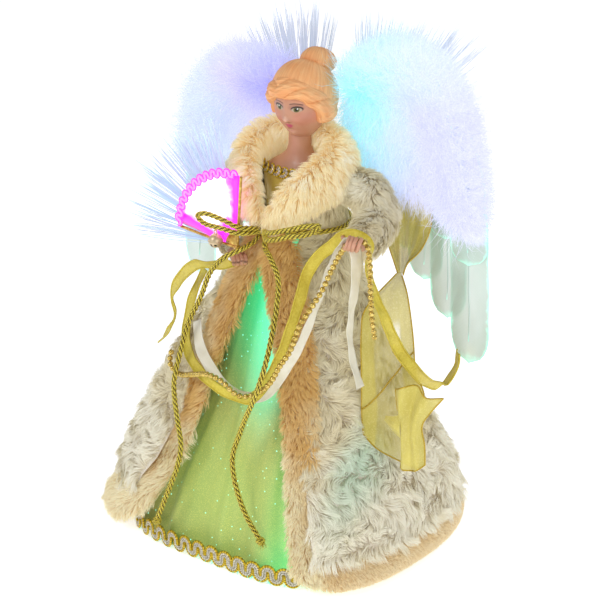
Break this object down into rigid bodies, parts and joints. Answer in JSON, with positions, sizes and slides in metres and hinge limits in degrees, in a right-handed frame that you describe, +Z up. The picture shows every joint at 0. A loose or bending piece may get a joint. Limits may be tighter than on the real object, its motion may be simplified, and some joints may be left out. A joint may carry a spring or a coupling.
{
  "type": "angel tree topper",
  "caption": "Lighted angel tree topper: doll in a plush coat over a hollow cone with a tree socket, folding fibre-optic wings, fan, corded waist and draped ribbons.",
  "frame": {"origin": "middle of the base rim, on the plane the topper stands on", "axes": "+Z up through the head, -Y the way the angel faces, +X towards the angel's left hand"},
  "size_m": [0.262, 0.1997, 0.3441],
  "materials": {
    "white_plastic": "moulded",
    "black_plastic": "moulded",
    "clear_plastic": "clear",
    "wheel_film": "tinted sectors",
    "steel": "plain",
    "aluminium": "turned",
    "board": "solder mask",
    "cell_skin": "printed sleeve",
    "skin": "painted",
    "hair": "painted",
    "gold_satin": "satin",
    "gold_trim": "metallic thread",
    "organza": "sheer glitter",
    "white_plush": "swirl pile",
    "beige_fur": "cut pile",
    "ivory_satin": "satin",
    "wing_film": "iridescent",
    "down": "marabou",
    "fibre": "drawn",
    "fan_cloth": "lit from behind"
  },
  "bodies": {
    "figure": {"support_cone": "white_plastic", "shelf": "white_plastic", "tree_tube": "white_plastic", "battery_box": "black_plastic", "battery_cell_1": "cell_skin", "battery_cell_2": "cell_skin", "battery_cell_3": "cell_skin", "heat_sink": "aluminium", "lamp_board": "board", "lamp_lens": "clear_plastic", "gear_motor": "steel", "lamp_frame": "white_plastic", "fibre_ferrule": "aluminium", "fibre_bundle": "black_plastic", "lamp_lead": "black_plastic", "torso": "white_plastic", "head": "skin", "hair": "hair", "bodice": "gold_satin", "neckline_braid": "gold_trim", "gown_skirt": "organza", "hem_braid": "gold_trim", "coat": "white_plush", "coat_trim_left": "beige_fur", "coat_trim_right": "beige_fur", "coat_hem_band": "beige_fur", "collar": "beige_fur", "sleeve_left": "white_plush", "sleeve_right": "white_plush", "hand_left": "skin", "hand_right": "skin", "fan_leaf": "fan_cloth", "fan_sticks": "gold_trim", "fan_braid": "gold_trim", "fan_fibres": "fibre", "wing_hub": "white_plastic", "hinge_pin_left": "steel", "hinge_pin_right": "steel", "waist_cord": "gold_trim", "bow": "gold_trim", "cord_end_right": "gold_trim", "cord_end_left": "gold_trim", "gold_ribbon": "gold_satin", "ivory_ribbon": "ivory_satin", "ribbon_loop": "gold_satin", "bead_string": "gold_trim", "scarf": "gold_satin"},
    "left_wing": {"wing_left": "wing_film", "marabou_left": "down", "wing_fibres_left": "fibre"},
    "right_wing": {"wing_right": "wing_film", "marabou_right": "down", "wing_fibres_right": "fibre"},
    "wheel": {"colour_wheel": "wheel_film", "wheel_shaft": "steel"},
    "cover": {"battery_cover": "black_plastic"},
    "switch": {"switch_knob": "white_plastic"},
    "bell": {"bell": "gold_trim"}
  },
  "joints": [
    {"name": "left_wing_fold", "type": "hinge", "parent": "figure", "child": "left_wing", "pos_m": [0.014, 0.032, 0.2375], "axis": [0, 0, 1], "range_deg": [0, 20]},
    {"name": "right_wing_fold", "type": "hinge", "parent": "figure", "child": "right_wing", "pos_m": [-0.014, 0.032, 0.2375], "axis": [0, 0, -1], "range_deg": [0, 20]},
    {"name": "wheel_spin", "type": "hinge", "parent": "figure", "child": "wheel", "pos_m": [0, 0.009, 0.141], "axis": [0, 0, 1], "continuous": true},
    {"name": "cover_slide", "type": "slide", "parent": "figure", "child": "cover", "axis": [0, 0, -1], "range_m": [0, 0.04]},
    {"name": "switch_slide", "type": "slide", "parent": "figure", "child": "switch", "axis": [1, 0, 0], "range_m": [0, 0.003]},
    {"name": "bell_swing", "type": "hinge", "parent": "figure", "child": "bell", "pos_m": [-0.024, -0.05375, 0.2171], "axis": [0, 1, 0], "range_deg": [-25, 25]}
  ]
}
